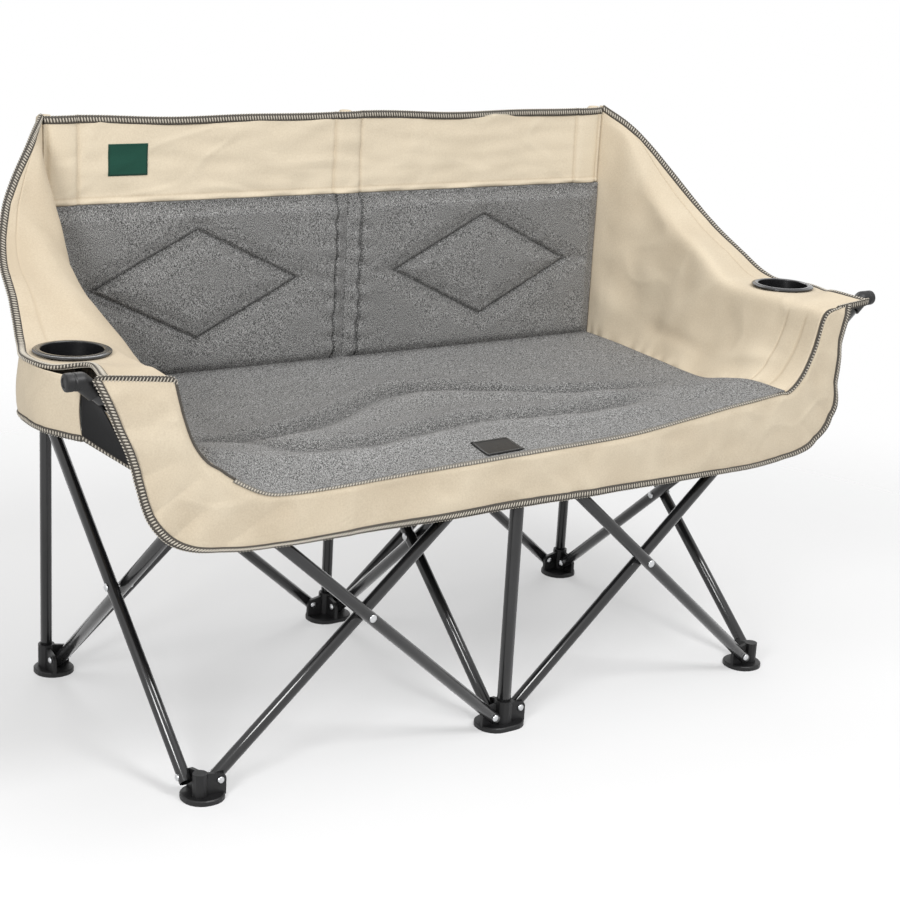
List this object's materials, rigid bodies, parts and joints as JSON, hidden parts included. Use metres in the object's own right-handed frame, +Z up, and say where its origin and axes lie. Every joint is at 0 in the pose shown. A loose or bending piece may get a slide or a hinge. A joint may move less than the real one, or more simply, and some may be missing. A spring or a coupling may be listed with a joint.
{
  "type": "folding camping loveseat",
  "caption": "Folding camping loveseat: crossed steel tubes on post legs, padded cloth seat and back, flared side wings with cup holders in the arms.",
  "frame": {"origin": "on the floor, under the middle of the whole", "axes": "+X to the sitter's left when seated, across the width; +Y from the front to the back; +Z up"},
  "size_m": [1.5056, 0.5924, 0.912],
  "materials": {
    "black_tube": "gloss",
    "black_plastic": "satin",
    "steel_rivet": "satin",
    "beige_cloth": "matt",
    "grey_cloth": "matt",
    "black_cloth": "matt",
    "green_cloth": "matt"
  },
  "bodies": {
    "rear_center_leg": {"rear_center_foot": "black_plastic", "rear_center_post": "black_tube", "back_pad_left": "grey_cloth", "back_pad_right": "grey_cloth", "back_top_band": "beige_cloth", "back_patch": "green_cloth"},
    "center_rear_tube": {"center_rear_tube": "black_tube", "center_crossing_rivet": "steel_rivet"},
    "center_front_tube": {"center_front_tube": "black_tube"},
    "front_center_leg": {"front_center_foot": "black_plastic", "front_center_post": "black_tube"},
    "front_center_bracket": {"front_center_bracket": "black_plastic", "front_slide_tube": "black_tube", "front_skirt": "beige_cloth"},
    "rear_center_bracket": {"rear_center_bracket": "black_plastic"},
    "rear_left_center_tube": {"rear_left_center_tube": "black_tube", "rear_left_crossing_rivet": "steel_rivet"},
    "rear_right_center_tube": {"rear_right_center_tube": "black_tube", "rear_right_crossing_rivet": "steel_rivet"},
    "rear_left_corner_tube": {"rear_left_corner_tube": "black_tube"},
    "rear_right_corner_tube": {"rear_right_corner_tube": "black_tube"},
    "rear_left_leg": {"rear_left_foot": "black_plastic", "rear_left_post": "black_tube", "wing_left": "beige_cloth", "cup_holder_left": "black_plastic", "cup_pouch_left": "beige_cloth", "arm_gusset_left": "black_cloth"},
    "rear_right_leg": {"rear_right_foot": "black_plastic", "rear_right_post": "black_tube", "wing_right": "beige_cloth", "cup_holder_right": "black_plastic", "cup_pouch_right": "beige_cloth", "arm_gusset_right": "black_cloth"},
    "rear_left_bracket": {"rear_left_bracket": "black_plastic"},
    "rear_right_bracket": {"rear_right_bracket": "black_plastic"},
    "front_left_arm_tube": {"front_left_arm_tube": "black_tube", "front_left_arm_cap": "black_plastic", "front_left_crossing_rivet": "steel_rivet"},
    "front_right_arm_tube": {"front_right_arm_tube": "black_tube", "front_right_arm_cap": "black_plastic", "front_right_crossing_rivet": "steel_rivet"},
    "front_left_corner_tube": {"front_left_corner_tube": "black_tube"},
    "front_right_corner_tube": {"front_right_corner_tube": "black_tube"},
    "front_left_foot": {"front_left_foot": "black_plastic"},
    "front_right_foot": {"front_right_foot": "black_plastic"},
    "front_left_bracket": {"front_left_bracket": "black_plastic", "arm_front_left": "beige_cloth"},
    "front_right_bracket": {"front_right_bracket": "black_plastic", "arm_front_right": "beige_cloth"},
    "side_left_front_tube": {"side_left_front_tube": "black_tube", "side_left_crossing_rivet": "steel_rivet"},
    "side_left_rear_tube": {"side_left_rear_tube": "black_tube"},
    "side_right_front_tube": {"side_right_front_tube": "black_tube", "side_right_crossing_rivet": "steel_rivet"},
    "side_right_rear_tube": {"side_right_rear_tube": "black_tube"},
    "seat_rear": {"seat_rear": "grey_cloth"},
    "seat_front": {"seat_front": "grey_cloth", "seat_tag": "black_cloth"}
  },
  "joints": [
    {"name": "fold", "type": "hinge", "parent": "rear_center_leg", "child": "center_rear_tube", "pos_m": [0.0105, 0.2432, 0.028], "axis": [-1, 0, 0], "range_deg": [0, 44.6], "deforming": ["wing_left", "wing_right", "cup_holder_left", "cup_holder_right", "cup_pouch_left", "cup_pouch_right", "arm_gusset_left", "arm_gusset_right", "arm_front_left", "arm_front_right", "back_pad_left", "back_pad_right", "seat_rear", "seat_front", "back_top_band", "front_skirt", "back_patch", "seat_tag"]},
    {"name": "center_crossing", "type": "hinge", "parent": "center_rear_tube", "child": "center_front_tube", "pos_m": [0, 0.0032, 0.238], "axis": [1, 0, 0], "range_deg": [0, 90]},
    {"name": "front_center_foot_pivot", "type": "hinge", "parent": "center_front_tube", "child": "front_center_leg", "pos_m": [-0.0105, -0.2368, 0.028], "axis": [-1, 0, 0], "range_deg": [0, 45]},
    {"name": "front_center_bracket_pivot", "type": "hinge", "parent": "center_rear_tube", "child": "front_center_bracket", "pos_m": [0.0105, -0.2368, 0.448], "axis": [1, 0, 0], "range_deg": [0, 45]},
    {"name": "rear_center_bracket_pivot", "type": "hinge", "parent": "center_front_tube", "child": "rear_center_bracket", "pos_m": [-0.0105, 0.2432, 0.448], "axis": [-1, 0, 0], "range_deg": [0, 45]},
    {"name": "rear_left_inner_pivot", "type": "hinge", "parent": "rear_center_leg", "child": "rear_left_center_tube", "pos_m": [-0.03, 0.2837, 0.028], "axis": [0, 1, 0], "range_deg": [0, 45]},
    {"name": "rear_right_inner_pivot", "type": "hinge", "parent": "rear_center_leg", "child": "rear_right_center_tube", "pos_m": [0.03, 0.2627, 0.028], "axis": [0, -1, 0], "range_deg": [0, 45]},
    {"name": "rear_left_crossing", "type": "hinge", "parent": "rear_left_center_tube", "child": "rear_left_corner_tube", "pos_m": [-0.27, 0.2732, 0.238], "axis": [0, -1, 0], "range_deg": [0, 90]},
    {"name": "rear_right_crossing", "type": "hinge", "parent": "rear_right_center_tube", "child": "rear_right_corner_tube", "pos_m": [0.27, 0.2732, 0.238], "axis": [0, 1, 0], "range_deg": [0, 90]},
    {"name": "rear_left_foot_pivot", "type": "hinge", "parent": "rear_left_corner_tube", "child": "rear_left_leg", "pos_m": [-0.51, 0.2627, 0.028], "axis": [0, 1, 0], "range_deg": [0, 45]},
    {"name": "rear_right_foot_pivot", "type": "hinge", "parent": "rear_right_corner_tube", "child": "rear_right_leg", "pos_m": [0.51, 0.2837, 0.028], "axis": [0, -1, 0], "range_deg": [0, 45]},
    {"name": "rear_left_bracket_pivot", "type": "hinge", "parent": "rear_left_center_tube", "child": "rear_left_bracket", "pos_m": [-0.51, 0.2837, 0.448], "axis": [0, -1, 0], "range_deg": [0, 45]},
    {"name": "rear_right_bracket_pivot", "type": "hinge", "parent": "rear_right_center_tube", "child": "rear_right_bracket", "pos_m": [0.51, 0.2627, 0.448], "axis": [0, 1, 0], "range_deg": [0, 45]},
    {"name": "front_left_inner_pivot", "type": "hinge", "parent": "front_center_leg", "child": "front_left_arm_tube", "pos_m": [-0.03, -0.2773, 0.028], "axis": [0, 1, 0], "range_deg": [0, 45]},
    {"name": "front_right_inner_pivot", "type": "hinge", "parent": "front_center_leg", "child": "front_right_arm_tube", "pos_m": [0.03, -0.2563, 0.028], "axis": [0, -1, 0], "range_deg": [0, 45]},
    {"name": "front_left_crossing", "type": "hinge", "parent": "front_left_arm_tube", "child": "front_left_corner_tube", "pos_m": [-0.27, -0.2668, 0.238], "axis": [0, -1, 0], "range_deg": [0, 90]},
    {"name": "front_right_crossing", "type": "hinge", "parent": "front_right_arm_tube", "child": "front_right_corner_tube", "pos_m": [0.27, -0.2668, 0.238], "axis": [0, 1, 0], "range_deg": [0, 90]},
    {"name": "front_left_foot_pivot", "type": "hinge", "parent": "front_left_corner_tube", "child": "front_left_foot", "pos_m": [-0.51, -0.2563, 0.028], "axis": [0, 1, 0], "range_deg": [0, 45]},
    {"name": "front_right_foot_pivot", "type": "hinge", "parent": "front_right_corner_tube", "child": "front_right_foot", "pos_m": [0.51, -0.2773, 0.028], "axis": [0, -1, 0], "range_deg": [0, 45]},
    {"name": "front_left_bracket_pivot", "type": "hinge", "parent": "front_left_arm_tube", "child": "front_left_bracket", "pos_m": [-0.51, -0.2773, 0.448], "axis": [0, -1, 0], "range_deg": [0, 45]},
    {"name": "front_right_bracket_pivot", "type": "hinge", "parent": "front_right_arm_tube", "child": "front_right_bracket", "pos_m": [0.51, -0.2563, 0.448], "axis": [0, 1, 0], "range_deg": [0, 45]},
    {"name": "side_left_front_pivot", "type": "hinge", "parent": "front_left_foot", "child": "side_left_front_tube", "pos_m": [-0.5505, -0.2368, 0.028], "axis": [1, 0, 0], "range_deg": [0, 45]},
    {"name": "side_right_front_pivot", "type": "hinge", "parent": "front_right_foot", "child": "side_right_front_tube", "pos_m": [0.5505, -0.2368, 0.028], "axis": [1, 0, 0], "range_deg": [0, 45]},
    {"name": "side_left_rear_pivot", "type": "hinge", "parent": "rear_left_leg", "child": "side_left_rear_tube", "pos_m": [-0.5295, 0.2432, 0.028], "axis": [-1, 0, 0], "range_deg": [0, 45]},
    {"name": "side_right_rear_pivot", "type": "hinge", "parent": "rear_right_leg", "child": "side_right_rear_tube", "pos_m": [0.5295, 0.2432, 0.028], "axis": [-1, 0, 0], "range_deg": [0, 45]},
    {"name": "seat_rear_fold", "type": "hinge", "parent": "rear_center_bracket", "child": "seat_rear", "pos_m": [0, 0.2282, 0.488], "axis": [-1, 0, 0], "range_deg": [0, 85]},
    {"name": "seat_front_fold", "type": "hinge", "parent": "front_center_bracket", "child": "seat_front", "pos_m": [0, -0.2818, 0.477], "axis": [1, 0, 0], "range_deg": [0, 85]}
  ],
  "couplings": [
    {"joint": "center_crossing", "follows": "fold", "ratio": 2},
    {"joint": "front_center_foot_pivot", "follows": "fold", "ratio": 1},
    {"joint": "front_center_bracket_pivot", "follows": "fold", "ratio": 1},
    {"joint": "rear_center_bracket_pivot", "follows": "fold", "ratio": 1},
    {"joint": "rear_left_inner_pivot", "follows": "fold", "ratio": 1},
    {"joint": "rear_right_inner_pivot", "follows": "fold", "ratio": 1},
    {"joint": "rear_left_crossing", "follows": "fold", "ratio": 2},
    {"joint": "rear_right_crossing", "follows": "fold", "ratio": 2},
    {"joint": "rear_left_foot_pivot", "follows": "fold", "ratio": 1},
    {"joint": "rear_right_foot_pivot", "follows": "fold", "ratio": 1},
    {"joint": "rear_left_bracket_pivot", "follows": "fold", "ratio": 1},
    {"joint": "rear_right_bracket_pivot", "follows": "fold", "ratio": 1},
    {"joint": "front_left_inner_pivot", "follows": "fold", "ratio": 1},
    {"joint": "front_right_inner_pivot", "follows": "fold", "ratio": 1},
    {"joint": "front_left_crossing", "follows": "fold", "ratio": 2},
    {"joint": "front_right_crossing", "follows": "fold", "ratio": 2},
    {"joint": "front_left_foot_pivot", "follows": "fold", "ratio": 1},
    {"joint": "front_right_foot_pivot", "follows": "fold", "ratio": 1},
    {"joint": "front_left_bracket_pivot", "follows": "fold", "ratio": 1},
    {"joint": "front_right_bracket_pivot", "follows": "fold", "ratio": 1},
    {"joint": "side_left_front_pivot", "follows": "fold", "ratio": 1},
    {"joint": "side_right_front_pivot", "follows": "fold", "ratio": 1},
    {"joint": "side_left_rear_pivot", "follows": "fold", "ratio": 1},
    {"joint": "side_right_rear_pivot", "follows": "fold", "ratio": 1},
    {"joint": "seat_rear_fold", "follows": "fold", "ratio": 1.9},
    {"joint": "seat_front_fold", "follows": "fold", "ratio": 1.9}
  ]
}
